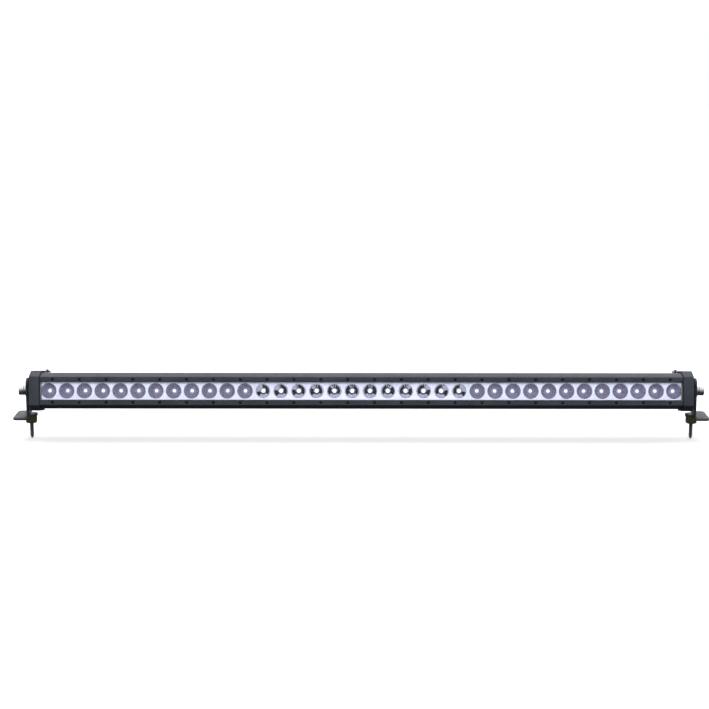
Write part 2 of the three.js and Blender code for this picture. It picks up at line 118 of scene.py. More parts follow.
# ---- Material nodes ----
class Finish:
    """A Principled material with a few lines of procedural texture."""

    def __init__(self, name, color, roughness, metallic=0.0, **sockets):
        self.material = bpy.data.materials.new(name)
        self.material.use_nodes = True
        self.tree = self.material.node_tree
        self.shader = self.tree.nodes["Principled BSDF"]
        self.color = color
        self.set("Base Color", (*color, 1))
        self.set("Roughness", roughness)
        self.set("Metallic", metallic)
        for socket, value in sockets.items():
            self.set(socket.replace("_", " "), value)
        self.coords = self.tree.nodes.new("ShaderNodeTexCoord").outputs["Object"]

    def set(self, socket, value):
        self.shader.inputs[socket].default_value = value

    def node(self, kind, inputs=(), **settings):
        made = self.tree.nodes.new("ShaderNode" + kind)
        for key, value in settings.items():
            setattr(made, key, value)
        for key, value in dict(inputs).items():
            if hasattr(value, "is_output"):
                self.tree.links.new(value, made.inputs[key])
            else:
                made.inputs[key].default_value = value
        return made

    def stretched(self, scale):
        return self.node("Mapping", {"Vector": self.coords, "Scale": scale}).outputs["Vector"]

    def noise(self, scale, detail=3.0, vector=None):
        made = self.node("TexNoise", {"Vector": vector or self.coords, "Scale": scale,
                                      "Detail": detail})
        return made.outputs["Fac"]

    def between(self, factor, low, high, start=0.3, end=0.7):
        made = self.node("MapRange", {"Value": factor, "From Min": start, "From Max": end,
                                      "To Min": low, "To Max": high})
        return made.outputs["Result"]

    def tint(self, factor, other, start=0.35, end=0.65):
        """The colour wanders from its own to another one."""
        amount = self.between(factor, 0.0, 1.0, start, end)
        mix = self.node("Mix", {0: amount}, data_type="RGBA")
        mix.inputs[6].default_value = (*self.color, 1)
        mix.inputs[7].default_value = (*other, 1)
        self.tree.links.new(mix.outputs[2], self.shader.inputs["Base Color"])

    def rough(self, factor, low, high, start=0.3, end=0.7):
        self.tree.links.new(self.between(factor, low, high, start, end),
                            self.shader.inputs["Roughness"])

    def bump(self, height, depth, strength=1.0):
        """A bump whose full height is depth metres."""
        made = self.node("Bump", {"Height": height, "Distance": depth, "Strength": strength})
        self.tree.links.new(made.outputs["Normal"], self.shader.inputs["Normal"])


def powder_coat(name, color, roughness, grain=900.0, depth=0.05 * MM):
    """Baked powder paint: a fine orange-peel skin with a slight dusty bloom."""
    finish = Finish(name, color, roughness, Specular_IOR_Level=0.3)
    bloom = finish.noise(35.0, 4.0)
    finish.tint(bloom, tuple(c * 1.25 + 0.002 for c in color))
    finish.rough(finish.noise(120.0), roughness - 0.05, roughness + 0.06)
    finish.bump(finish.noise(grain, 2.0), depth)
    return finish.material


def turned_metal(name, color, roughness, axis_scale=(4000.0, 300.0, 300.0)):
    """Bare machined metal with fine tool lines and slight staining."""
    finish = Finish(name, color, roughness, 1.0)
    lines = finish.noise(1.0, 2.0, finish.stretched(axis_scale))
    finish.rough(lines, roughness - 0.08, roughness + 0.12)
    finish.tint(finish.noise(160.0), tuple(c * 0.82 for c in color))
    finish.bump(lines, 0.006 * MM)
    return finish.material


def moulded_plastic(name, color, roughness, grain=1800.0, shine=0.5):
    finish = Finish(name, color, roughness, Specular_IOR_Level=shine)
    finish.tint(finish.noise(90.0), tuple(c * 1.3 + 0.003 for c in color))
    finish.rough(finish.noise(200.0), roughness - 0.06, roughness + 0.06)
    finish.bump(finish.noise(grain, 2.0), 0.03 * MM)
    return finish.material


def satin_plate():
    """The plastic between the optics: near-white, slightly wavy, with a faint haze."""
    finish = Finish("satin_plastic", (0.93, 0.93, 1.0), 0.5, 0.0)
    finish.tint(finish.noise(260.0, 3.0), (0.84, 0.84, 0.95))
    finish.rough(finish.noise(500.0), 0.4, 0.55)
    finish.bump(finish.noise(420.0, 3.0), 0.03 * MM)
    return finish.material


def mirror_cup():
    finish = Finish("metallised_cup", (0.60, 0.60, 0.69), 0.3, 0.7)
    finish.rough(finish.noise(700.0), 0.22, 0.38)
    finish.tint(finish.noise(420.0), (0.42, 0.42, 0.52))
    finish.bump(finish.noise(900.0), 0.05 * MM)
    return finish.material


def frosted_optic():
    """Moulded collimator: grey-lavender, with a pebbled surface that breaks up the light."""
    finish = Finish("frosted_optic", (0.36, 0.35, 0.46), 0.30, 0.35, Coat_Weight=0.3)
    finish.tint(finish.noise(650.0, 3.0), (0.20, 0.19, 0.27), 0.4, 0.6)
    finish.rough(finish.noise(800.0), 0.2, 0.42)
    finish.bump(finish.noise(1300.0, 3.0), 0.12 * MM)
    return finish.material


# White phosphor with a weak emission: a painted glow, since the LEDs are not lit; it makes the bright hot
# spots.
def led_white_painted_glow():
    finish = Finish("led_phosphor_painted_glow", (0.98, 0.98, 1.0), 0.25, 0.0, Emission_Strength=0.6,
                    Coat_Weight=0.6)
    finish.set("Emission Color", (0.95, 0.95, 1.0, 1))
    finish.tint(finish.noise(900.0), (0.96, 0.95, 0.88))
    return finish.material


def clear_cover():
    """Clear hard-coated polycarbonate: the view goes straight through, and its face shines."""
    finish = Finish("clear_polycarbonate", (1.0, 1.0, 1.0), 0.04)
    finish.rough(finish.noise(60.0), 0.02, 0.07)
    through = finish.node("BsdfTransparent", {"Color": (0.96, 0.97, 1.0, 1)})
    gloss = finish.node("Fresnel", {"IOR": 1.25})
    mix = finish.node("MixShader", {0: gloss.outputs["Fac"], 1: through.outputs["BSDF"],
                                    2: finish.shader.outputs["BSDF"]})
    finish.tree.links.new(mix.outputs["Shader"], finish.tree.nodes["Material Output"].inputs["Surface"])
    return finish.material


def zinc_plate():
    """Yellow-passivated zinc in a dark olive: the plating's own yellow with painted shade in it, iridescent in
    patches.
    """
    finish = Finish("yellow_zinc", (0.105, 0.10, 0.045), 0.38, 0.8)
    finish.tint(finish.noise(240.0, 4.0), (0.05, 0.052, 0.03), 0.35, 0.65)
    finish.rough(finish.noise(500.0), 0.25, 0.5)
    finish.bump(finish.noise(1500.0), 0.02 * MM)
    return finish.material


COATED = powder_coat("powder_coat_extrusion", (0.024, 0.028, 0.035), 0.40)
CAST = powder_coat("powder_coat_casting", (0.026, 0.030, 0.038), 0.46, 600.0, 0.09 * MM)
COATED_STEEL = powder_coat("powder_coat_steel", (0.024, 0.026, 0.031), 0.38, 1100.0, 0.04 * MM)
PLATE = satin_plate()
CUP = mirror_cup()
OPTIC = frosted_optic()
# LED: the white with the painted glow.
LED = led_white_painted_glow()
DARK_REFLECTION = moulded_plastic("dark_reflection", (0.003, 0.003, 0.007), 0.6, 1500.0, 0.1)
CLEAR = clear_cover()
RUBBER = moulded_plastic("silicone_rubber", (0.010, 0.010, 0.012), 0.75)
PAD = moulded_plastic("thermal_silicone", (0.30, 0.34, 0.38), 0.85)
BOARD_WHITE = moulded_plastic("board_white", (0.78, 0.79, 0.82), 0.45)
BOARD_GREEN = moulded_plastic("board_green", (0.02, 0.16, 0.07), 0.35)
STAINLESS = turned_metal("stainless_steel", (0.50, 0.50, 0.51), 0.28)
STUD_STEEL = turned_metal("zinc_plated_steel", (0.28, 0.28, 0.285), 0.36, (300.0, 300.0, 2500.0))
BLACK_STEEL = turned_metal("black_oxide_steel", (0.045, 0.045, 0.05), 0.38)
ZINC = zinc_plate()
NYLON = moulded_plastic("black_nylon", (0.016, 0.016, 0.018), 0.5)


# ---- Mesh helpers ----
def finished(mesh, angle=32.0):
    """Smooth faces with sharp creases, wound outwards."""
    bm = bmesh.new()
    bm.from_mesh(mesh)
    bmesh.ops.remove_doubles(bm, verts=bm.verts, dist=1e-7)
    bmesh.ops.recalc_face_normals(bm, faces=bm.faces)
    bm.to_mesh(mesh)
    bm.free()
    for polygon in mesh.polygons:
        polygon.use_smooth = True
    mesh.set_sharp_from_angle(angle=math.radians(angle))


def add_object(name, bm, place=UNMOVED, angle=32.0):
    mesh = bpy.data.meshes.new(name)
    bm.to_mesh(mesh)
    bm.free()
    mesh.transform(place)
    finished(mesh, angle)
    made = bpy.data.objects.new(name, mesh)
    bpy.context.scene.collection.objects.link(made)
    return made


def applied(piece):
    """Applies a piece's modifiers."""
    graph = bpy.context.evaluated_depsgraph_get()
    mesh = bpy.data.meshes.new_from_object(piece.evaluated_get(graph))
    piece.modifiers.clear()
    old = piece.data
    piece.data = mesh
    bpy.data.meshes.remove(old)
    return piece


def bevelled(piece, width, segments=2, angle=30.0):
    bevel = piece.modifiers.new("bevel", "BEVEL")
    bevel.width = width
    bevel.segments = segments
    bevel.limit_method = "ANGLE"
    bevel.angle_limit = math.radians(angle)
    applied(piece)
    finished(piece.data)
    return piece


def carved(piece, tool, operation="DIFFERENCE", solver="EXACT"):
    """Cuts or joins a tool body, which goes away afterwards."""
    boolean = piece.modifiers.new("carve", "BOOLEAN")
    boolean.operation = operation
    boolean.solver = solver
    boolean.object = tool
    applied(piece)
    bpy.data.objects.remove(tool)
    finished(piece.data)
    return piece


def installed(piece, body, material, slot, *nodes):
    piece.data.materials.clear()
    piece.data.materials.append(material)
    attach(piece, body)
    if nodes:
        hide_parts(*nodes)
    return piece


def merged(target, source, offset):
    """Adds a moved copy of one bmesh to another."""
    mesh = bpy.data.meshes.new("part")
    source.to_mesh(mesh)
    mesh.transform(offset)
    target.from_mesh(mesh)
    bpy.data.meshes.remove(mesh)


def moved(mesh, matrix):
    copy = mesh.copy()
    copy.transform(matrix)
    return copy


def rounded(points, radius, steps=4):
    """The closed outline with its corners rounded."""
    result = []
    count = len(points)
    for i, (u, v) in enumerate(points):
        corner = Vector((u, v))
        before = Vector(points[i - 1]) - corner
        after = Vector(points[(i + 1) % count]) - corner
        turn = before.angle(after)
        if turn > math.radians(177):
            result.append((u, v))
            continue
        reach = min(radius / math.tan(turn / 2), before.length * 0.45, after.length * 0.45)
        start = corner + before.normalized() * reach
        end = corner + after.normalized() * reach
        for k in range(steps + 1):
            t = k / steps
            point = start * (1 - t) ** 2 + corner * 2 * t * (1 - t) + end * t ** 2
            result.append((point.x, point.y))
    return result


def prism(outline, x0, x1, holes=()):
    """A section in y and z, extruded along X, with holes right through."""
    bm = bmesh.new()
    ends = ([], [])
    for loop in (outline, *holes):
        rings = [[bm.verts.new((x, y, z)) for y, z in loop] for x in (x0, x1)]
        for i in range(len(loop)):
            k = (i + 1) % len(loop)
            bm.faces.new((rings[0][i], rings[0][k], rings[1][k], rings[1][i]))
            for end in (0, 1):
                ends[end].append(bm.edges.get((rings[end][i], rings[end][k])))
    for edges in ends:
        bmesh.ops.triangle_fill(bm, edges=edges, use_beauty=True)
    return bm


def spun(profile, segments=48, radius_at=None):
    """A profile of (radius, height) points turned about Z. It starts and ends on the axis,
    or closes on itself. radius_at may vary the radius round the turn."""
    bm = bmesh.new()
    rings = []
    for radius, height in profile:
        if radius < 1e-9:
            rings.append([bm.verts.new((0, 0, height))])
            continue
        ring = []
        for k in range(segments):
            angle = TAU * k / segments
            r = radius_at(radius, height, angle) if radius_at else radius
            ring.append(bm.verts.new((r * math.cos(angle), r * math.sin(angle), height)))
        rings.append(ring)
    pairs = list(zip(rings, rings[1:]))
    if len(rings[0]) > 1:
        pairs.append((rings[-1], rings[0]))
    for low, high in pairs:
        for k in range(segments):
            n = (k + 1) % segments
            corners = [low[k % len(low)], low[n % len(low)], high[n % len(high)], high[k % len(high)]]
            distinct = list(dict.fromkeys(corners))
            if len(distinct) > 2:
                bm.faces.new(distinct)
    return bm


def circle(y, z, radius, segments=32):
    return [(y + radius * math.cos(TAU * k / segments), z + radius * math.sin(TAU * k / segments))
            for k in range(segments)]


def hexagon(across_flats, start=0.0):
    radius = across_flats / math.sqrt(3)
    return [(radius * math.cos(start + TAU * k / 6), radius * math.sin(start + TAU * k / 6))
            for k in range(6)]


def facing(side):
    """Turns a body built along +Z to point outwards along X."""
    return Matrix.Rotation(side * math.pi / 2, 4, "Y")


UPRIGHT = Matrix.Rotation(-math.pi / 2, 4, "Y")     # +X to +Z
BACKWARDS = Matrix.Rotation(-math.pi / 2, 4, "X")   # +Z to +Y
FORWARDS = Matrix.Rotation(math.pi / 2, 4, "X")     # +Z to -Y


def at(x, y, z):
    return Matrix.Translation((x, y, z))


# ---- Housing ----
def shoulder_z(y):
    return FACE_Z + (HOUSING_Z - FACE_Z) * (y - FRONT_Y) / SHOULDER_DEPTH


def mirrored(points):
    return [(y, -z) for y, z in reversed(points)]


def fin_points():
    pitch = (2 * HOUSING_Z - FIN_THICKNESS) / (FIN_COUNT - 1)
    slope = (CAP_BACK_Y - CAP_ROOF_BACK_Y) / (CAP_Z - CAP_FACE_Z)
    points = []
    for i in range(FIN_COUNT):
        middle = HOUSING_Z - FIN_THICKNESS / 2 - i * pitch
        reach = abs(middle) + FIN_THICKNESS / 2
        tip = min(CAP_BACK_Y - GAP, CAP_ROOF_BACK_Y + (CAP_Z - reach) * slope)
        top, bottom = middle + FIN_THICKNESS / 2, middle - FIN_THICKNESS / 2
        if i > 0:
            points.append((FIN_ROOT_Y, top))
        points += [(tip, top), (tip, bottom)]
        if i < FIN_COUNT - 1:
            points.append((FIN_ROOT_Y, bottom))
    return points


def make_housing():
    front = housing_low.y
    upper = [(WEB_Y, CHAMBER_Z), (optic_low.y - GAP, CHAMBER_Z), (optic_low.y - GAP, RECESS_Z),
             (front, RECESS_Z), (front, shoulder_z(front)), (FRONT_Y + SHOULDER_DEPTH, HOUSING_Z)]
    outline = rounded([*upper, *fin_points(), *mirrored(upper)], 0.8 * MM)
    channel = [(-3 * MM, 12 * MM), (8 * MM, 12 * MM), (8 * MM, -12 * MM), (-3 * MM, -12 * MM)]
    bm = prism(outline, -HOUSING_X, HOUSING_X, [channel])
    housing = add_object("finned_housing", bm, LAMP)
    installed(housing, "lamp", COATED, "coated_aluminium", "housing_extrusion")


def lip_screw_x():
    return [(i - (LIP_SCREW_COUNT - 1) / 2) * 1.5 * LED_PITCH for i in range(LIP_SCREW_COUNT)]


def lip_screw():
    """A small pan-head screw with a hexagonal recess, head towards +Z, seat at zero."""
    head = add_object("screw", spun([(0, -5 * MM), (1.2 * MM, -5 * MM), (1.2 * MM, 0), (2.0 * MM, 0),
                                     (2.1 * MM, 0.3 * MM), (1.9 * MM, 0.9 * MM), (1.3 * MM, 1.15 * MM),
                                     (0, 1.2 * MM)], 24))
    recess = add_object("recess", prism(hexagon(1.7 * MM), 0.3 * MM, 2 * MM), UPRIGHT)
    carved(head, recess)
    return head


def make_retainers():
    """The two lips, each with counterbored holes and the screws in them."""
    back = retainer_high.y
    section = [(FRONT_Y, WINDOW_Z), (back, WINDOW_Z), (back, shoulder_z(back)), (FRONT_Y, FACE_Z)]
    screw = lip_screw()
    seat_y = FRONT_Y + 1.35 * MM
    for name, sign in (("upper", 1), ("lower", -1)):
        outline = rounded(section if sign > 0 else mirrored(section), 0.45 * MM)
        strip = add_object(name + "_lip", prism(outline, -HOUSING_X, HOUSING_X), LAMP)
        holes, screws = bmesh.new(), bmesh.new()
        counterbore = spun([(0, -4 * MM), (1.35 * MM, -4 * MM), (1.35 * MM, 0), (2.35 * MM, 0),
                            (2.35 * MM, 1.0 * MM), (2.9 * MM, 1.5 * MM), (0, 1.5 * MM)], 24)
        for x in lip_screw_x():
            merged(holes, counterbore, at(x, seat_y, sign * LIP_SCREW_Z) @ FORWARDS)
            screws.from_mesh(moved(screw.data, at(x, seat_y - 0.02 * MM, sign * LIP_SCREW_Z) @ FORWARDS))
        carved(strip, add_object("holes", holes, LAMP))
        installed(strip, "lamp", COATED, "coated_aluminium", name + "_retainer")
        fasteners = add_object(name + "_lip_screws", screws, LAMP)
        installed(fasteners, "lamp", BLACK_STEEL, "black_steel")
    bpy.data.objects.remove(screw)


def make_lens():
    bm = bmesh.new()
    bmesh.ops.create_cube(bm, size=1.0)
    size = lens_high - lens_low
    middle = (lens_high + lens_low) / 2
    bmesh.ops.transform(bm, matrix=Matrix.Diagonal((*size, 1)), verts=bm.verts)
    lens = bevelled(add_object("clear_lens", bm, LAMP @ Matrix.Translation(middle)), 0.4 * MM)
    installed(lens, "lamp", CLEAR, "clear_lens", "lens_cover")


# ---- Optics ----
OPTIC_RADIUS = 11.1 * MM
CUP_RADIUS = 10.2 * MM
CUP_FLOOR_RADIUS = 3.4 * MM
PLATE_Z = optic_high.z
PLATE_FRONT = optic_low.y
PLATE_BACK = optic_high.y


def led_x(index):
    return (index - (LED_COUNT - 1) / 2) * LED_PITCH


def run_leds(run):
    return [led_x(run * RUN_LEDS + i) for i in range(RUN_LEDS)]


def optic_plate(run, profile, segments):
    """A plate with a row of turned pockets. The profile runs from the pocket's rim at the
    plate's front to its floor opening at the plate's back, as (radius, depth)."""
    node = ("collimator_strip_left", "reflector_strip", "collimator_strip_right")[run]
    low, high = lamp_box(node)
    bm = bmesh.new()
    plates = []
    for y in (PLATE_FRONT, PLATE_BACK):
        corners = [(low.x, -PLATE_Z), (high.x, -PLATE_Z), (high.x, PLATE_Z), (low.x, PLATE_Z)]
        ring = [bm.verts.new((x, y, z)) for x, z in corners]
        plates.append((ring, [bm.edges.new((ring[i], ring[(i + 1) % 4])) for i in range(4)]))
    for i in range(4):
        k = (i + 1) % 4
        bm.faces.new((plates[0][0][i], plates[0][0][k], plates[1][0][k], plates[1][0][i]))
    for x in run_leds(run):
        rings = []
        for radius, depth in profile:
            rings.append([bm.verts.new((x + radius * math.cos(TAU * s / segments), PLATE_FRONT + depth,
                                        radius * math.sin(TAU * s / segments)))
                          for s in range(segments)])
        for outer, inner in zip(rings, rings[1:]):
            for s in range(segments):
                n = (s + 1) % segments
                bm.faces.new((outer[s], outer[n], inner[n], inner[s]))
        for end, ring in ((0, rings[0]), (1, rings[-1])):
            plates[end][1].extend(bm.edges.get((ring[s], ring[(s + 1) % segments]))
                                  for s in range(segments))
    for _, edges in plates:
        bmesh.ops.triangle_fill(bm, edges=edges, use_beauty=True)
    return bm


def near(angle, middle, half_width):
    """Whether an angle in degrees lies within half_width of the middle."""
    return abs((angle - middle + 180) % 360 - 180) < half_width


def shaded(lean, angle, share):
    """Whether a facet of a cup is dark. The dark facets stand for the reflections in the
    photo's cups, so they don't change with the view. lean runs from -1 in the left cup to 1
    in the right one, angle is in degrees clockwise from the top and share is the share of
    the radius."""
    if lean > 0:
        lean, angle = -lean, -angle
    crescents = (
        (75 + 10 * lean, 50 - 15 * lean, 0.42, 0.80 - 0.06 * lean),   # towards the bar's middle
        (45 * lean - 75, 50 + 28 * lean, 0.44, 0.90),                 # away from it
        (180 + 20 * lean, 85, 0.0, 0.50),                             # below the LED
    )
    for middle, half_width, inner, outer in crescents:
        if near(angle, middle, half_width) and inner < share < outer:
            return True
    stripe, striped_half_width = 11, 40 + 25 * lean
    striped = near(angle, 0, striped_half_width) and 0.46 < share < 0.92
    return striped and (angle + 180) % (2 * stripe) < stripe


def cup_profile():
    """A cup's wall from its rounded rim to the opening at its floor, as (radius, depth)."""
    depth = PLATE_BACK - PLATE_FRONT
    rim = 0.25 * MM
    profile = [(CUP_RADIUS + rim, 0.0), (CUP_RADIUS + 0.3 * rim, 0.3 * rim)]
    steps = 18
    for k in range(steps + 1):
        share = k / steps
        radius = CUP_RADIUS + (CUP_FLOOR_RADIUS - CUP_RADIUS) * share ** 1.6
        profile.append((radius, rim + (depth - rim) * share))
    return profile


def make_reflectors():
    """Open cups in one bright plate."""
    strip = add_object("reflector_cups", optic_plate(1, cup_profile(), 48))
    installed(strip, "lamp", CUP, "mirror", "reflector_strip")
    strip.data.materials.append(PLATE)
    strip.data.materials.append(DARK_REFLECTION)
    for polygon in strip.data.polygons:
        x, y, z = polygon.center
        index = min(max(round(x / LED_PITCH + (LED_COUNT - 1) / 2), RUN_LEDS), 2 * RUN_LEDS - 1)
        aside = x - led_x(index)
        share = math.hypot(aside, z) / CUP_RADIUS
        lean = led_x(index) / led_x(2 * RUN_LEDS - 1)
        if abs(polygon.normal.y) > 0.98 or share > 1.02:
            polygon.material_index = 1
        elif shaded(lean, math.degrees(math.atan2(aside, z)), share):
            polygon.material_index = 2
    strip.data.transform(LAMP)


def collimator(bm, x):
    """One collimator: a funnel of pebbled rings round a well, with the small centre lens in it."""
    segments, rings = 60, 22
    well, floor = 2.7 * MM, 11.2 * MM
    grid = []
    for r in range(rings + 1):
        t = r / rings
        radius = OPTIC_RADIUS - 0.25 * MM + (well - OPTIC_RADIUS + 0.25 * MM) * t
        row = []
        for s in range(segments):
            angle = TAU * (s + 0.5 * (r % 2)) / segments
            pebble = 0.11 * MM * math.cos(TAU * 15 * s / segments + math.pi * (r // 2 % 2)) \
                * math.cos(math.pi * r / 2)
            depth = 1.4 * MM + (floor - 1.4 * MM) * t ** 1.15 + (pebble if 0 < r < rings else 0)
            row.append(bm.verts.new((x + radius * math.cos(angle), PLATE_FRONT + depth,
                                     radius * math.sin(angle))))
        grid.append(row)
    outer = [bm.verts.new((x + OPTIC_RADIUS * math.cos(TAU * s / segments), PLATE_FRONT + 0.6 * MM,
                           OPTIC_RADIUS * math.sin(TAU * s / segments))) for s in range(segments)]
    back = [bm.verts.new((x + 3.2 * MM * math.cos(TAU * s / segments), PLATE_BACK - 0.1 * MM,
                          3.2 * MM * math.sin(TAU * s / segments))) for s in range(segments)]
    side = [bm.verts.new((x + OPTIC_RADIUS * math.cos(TAU * s / segments), PLATE_FRONT + 2.4 * MM,
                          OPTIC_RADIUS * math.sin(TAU * s / segments))) for s in range(segments)]
    loops = [back, side, outer, *grid]
    for one, two in zip(loops, loops[1:]):
        for s in range(segments):
            n = (s + 1) % segments
            bm.faces.new((one[s], one[n], two[n], two[s]))
    bm.faces.new(grid[-1])
    bm.faces.new(back)


def centre_lens(bm, x, radius, depth, height):
    dome = spun([(0, 0), (radius, 0), (radius, height * 0.25), (radius * 0.92, height * 0.55),
                 (radius * 0.7, height * 0.85), (radius * 0.38, height * 0.98), (0, height)], 28)
    merged(bm, dome, at(x, PLATE_FRONT + depth, 0) @ FORWARDS)


def make_collimators():
    for run, name in ((0, "left"), (2, "right")):
        node = "collimator_strip_" + name
        rim = OPTIC_RADIUS + 0.12 * MM
        profile = [(rim + 0.25 * MM, 0), (rim, 0.25 * MM), (rim, 3 * MM),
                   (4 * MM, PLATE_BACK - PLATE_FRONT)]
        tray = add_object("collimator_tray_" + name, optic_plate(run, profile, 60), LAMP)
        installed(tray, "lamp", PLATE, "mirror", node)
        lenses, centres = bmesh.new(), bmesh.new()
        for x in run_leds(run):
            collimator(lenses, x)
            centre_lens(centres, x, 2.5 * MM, 11.1 * MM, 1.3 * MM)
        optics = add_object("collimators_" + name, lenses, LAMP, 60.0)
        installed(optics, "lamp", OPTIC, "collimator", node)
        # The centre lenses take the weakly glowing white: a painted highlight for each lens's hot spot.
        glow = add_object("collimator_centres_" + name, centres, LAMP)
        installed(glow, "lamp", LED, "collimator", node)


def make_leds():
    """The domes of the LEDs that stand in the open cups."""
    domes = bmesh.new()
    for x in run_leds(1):
        centre_lens(domes, x, 3.0 * MM, PLATE_BACK - PLATE_FRONT - 1.2 * MM, 1.8 * MM)
    # The domes take the weakly glowing white: a painted glow.
    installed(add_object("led_domes", domes, LAMP), "lamp", LED, "led_board")


def make_pegs():
    """Small bright heat-staked pegs between neighbouring optics."""
    pegs = bmesh.new()
    for i in range(LED_COUNT - 1):
        x = (led_x(i) + led_x(i + 1)) / 2
        peg = spun([(0, -0.3 * MM), (0.9 * MM, -0.3 * MM), (0.95 * MM, 0.15 * MM), (0.6 * MM, 0.45 * MM),
                    (0, 0.55 * MM)], 16)
        merged(pegs, peg, at(x, PLATE_FRONT + 0.1 * MM, 0) @ FORWARDS)
    installed(add_object("plate_pegs", pegs, LAMP), "lamp", PLATE, "mirror")


# ---- End caps ----
def cap_outline():
    upper = [(FRONT_Y, CAP_FACE_Z), (FRONT_Y + SHOULDER_DEPTH, CAP_Z), (CAP_ROOF_BACK_Y, CAP_Z),
             (CAP_BACK_Y, CAP_FACE_Z)]
    return [*upper, *mirrored(upper)]


TONGUE_END_X = cap_low.x
TONGUE_SCREW_Y = 10 * MM


def make_end_cap(name, side):
    outline = rounded(cap_outline(), 1.6 * MM)
    cap = add_object("cast_cap_" + name, prism(outline, side * CAP_INNER_X, side * CAP_OUTER_X))
    bevelled(cap, 0.7 * MM, 3, 40.0)
    tongue_z = HOUSING_Z + GAP
    tongue = rounded([(0.0, tongue_z), (16 * MM, tongue_z), (16 * MM, CAP_Z - 0.02 * MM),
                      (0.0, CAP_Z - 0.02 * MM)], 0.5 * MM)
    tongue_body = add_object("tongue", prism(tongue, side * TONGUE_END_X, side * (CAP_INNER_X + MM)))
    carved(cap, bevelled(tongue_body, 0.3 * MM), "UNION")
    boss = spun([(0, -2 * MM), (10.6 * MM, -2 * MM), (10.2 * MM, 0.0), (0, 0.0)], 48)
    carved(cap, add_object("boss", boss, at(side * (CAP_OUTER_X - 0.4 * MM), 0, 0) @ facing(side)))
    cutters = bmesh.new()
    for y, z in CAP_SCREW_YZ:
        bore = spun([(0, -4 * MM), (4 * MM, -4 * MM), (4 * MM, -0.4 * MM), (4.5 * MM, MM), (0, MM)], 32)
        merged(cutters, bore, at(side * (CAP_OUTER_X - 0.2 * MM), y, z) @ facing(side))
    pivot = spun([(0, -9 * MM), (6.8 * MM, -9 * MM), (6.8 * MM, 4 * MM), (0, 4 * MM)], 40)
    merged(cutters, pivot, at(side * CAP_OUTER_X, 0, 0) @ facing(side))
    carved(cap, add_object("bores", cutters))
    cap.data.transform(LAMP)
    installed(cap, "lamp", CAST, "cast_cap", "end_cap_" + name)


# ---- Fasteners ----
BOLT_HEAD_RADIUS = 6.5 * MM
BOLT_HEAD_LENGTH = 7 * MM
BOLT_RADIUS = 4 * MM
BOLT_REACH = 23 * MM
BOLT_KEY = 6 * MM
CAP_SCREW_HEAD_RADIUS = 3.5 * MM
CAP_SCREW_HEAD_LENGTH = 2.8 * MM
CAP_SCREW_RADIUS = 1.6 * MM
CAP_SCREW_REACH = 25 * MM
CAP_SCREW_KEY = 2.5 * MM
FLAT_WASHER_THICKNESS = 1.4 * MM
SPRING_WASHER_THICKNESS = 1.8 * MM


def socket_screw(name, radius, length, shank_radius, shank, key, segments=96):
    """A socket cap screw along +Z: knurled head above zero, shank below, with a hexagonal key."""
    teeth = segments // 4

    def knurl(r, height, angle):
        grip = r > radius * 0.99 and 0.12 * length < height < 0.86 * length
        return r - (0.02 * radius * (1 + math.cos(teeth * angle)) if grip else 0)

    chamfer = 0.08 * length
    profile = [(0, -shank), (shank_radius * 0.8, -shank), (shank_radius, -shank + shank_radius * 0.2),
               (shank_radius, 0), (radius * 0.97, 0), (radius, chamfer * 0.6), (radius, 0.14 * length),
               (radius, 0.5 * length), (radius, 0.84 * length), (radius, length - chamfer * 1.4),
               (radius * 0.97, length - chamfer * 0.5), (radius * 0.9, length), (0, length)]
    screw = add_object(name, spun(profile, segments, knurl))
    recess = prism(hexagon(key), length * 0.45, length * 1.2)
    countersink = spun([(0, length * 0.98), (key * 0.56, length * 0.98),
                        (key * 0.66, length * 1.1), (0, length * 1.1)], 36)
    carved(screw, add_object("recess", recess, UPRIGHT))
    return carved(screw, add_object("countersink", countersink))


def split_ring(inner, outer, thickness, lift):
    """A spring washer about Z: one turn of a square section, its ends offset by lift."""
    bm = bmesh.new()
    steps = 72
    gap = math.radians(9)
    rows = []
    for k in range(steps + 1):
        angle = gap / 2 + (TAU - gap) * k / steps
        rise = lift * (k / steps - 0.5)
        half = (thickness - lift) / 2
        row = []
        for radius, height in ((inner, -half), (outer, -half), (outer, half), (inner, half)):
            row.append(bm.verts.new((radius * math.cos(angle), radius * math.sin(angle), height + rise)))
        rows.append(row)
    for one, two in zip(rows, rows[1:]):
        for i in range(4):
            k = (i + 1) % 4
            bm.faces.new((one[i], one[k], two[k], two[i]))
    bm.faces.new(rows[0])
    bm.faces.new(rows[-1])
    return bm


def ring_profile(inner, outer, thickness, edge):
    return [(inner, edge), (inner + edge, 0), (outer - edge, 0), (outer, edge),
            (outer, thickness - edge), (outer - edge, thickness), (inner + edge, thickness),
            (inner, thickness - edge)]


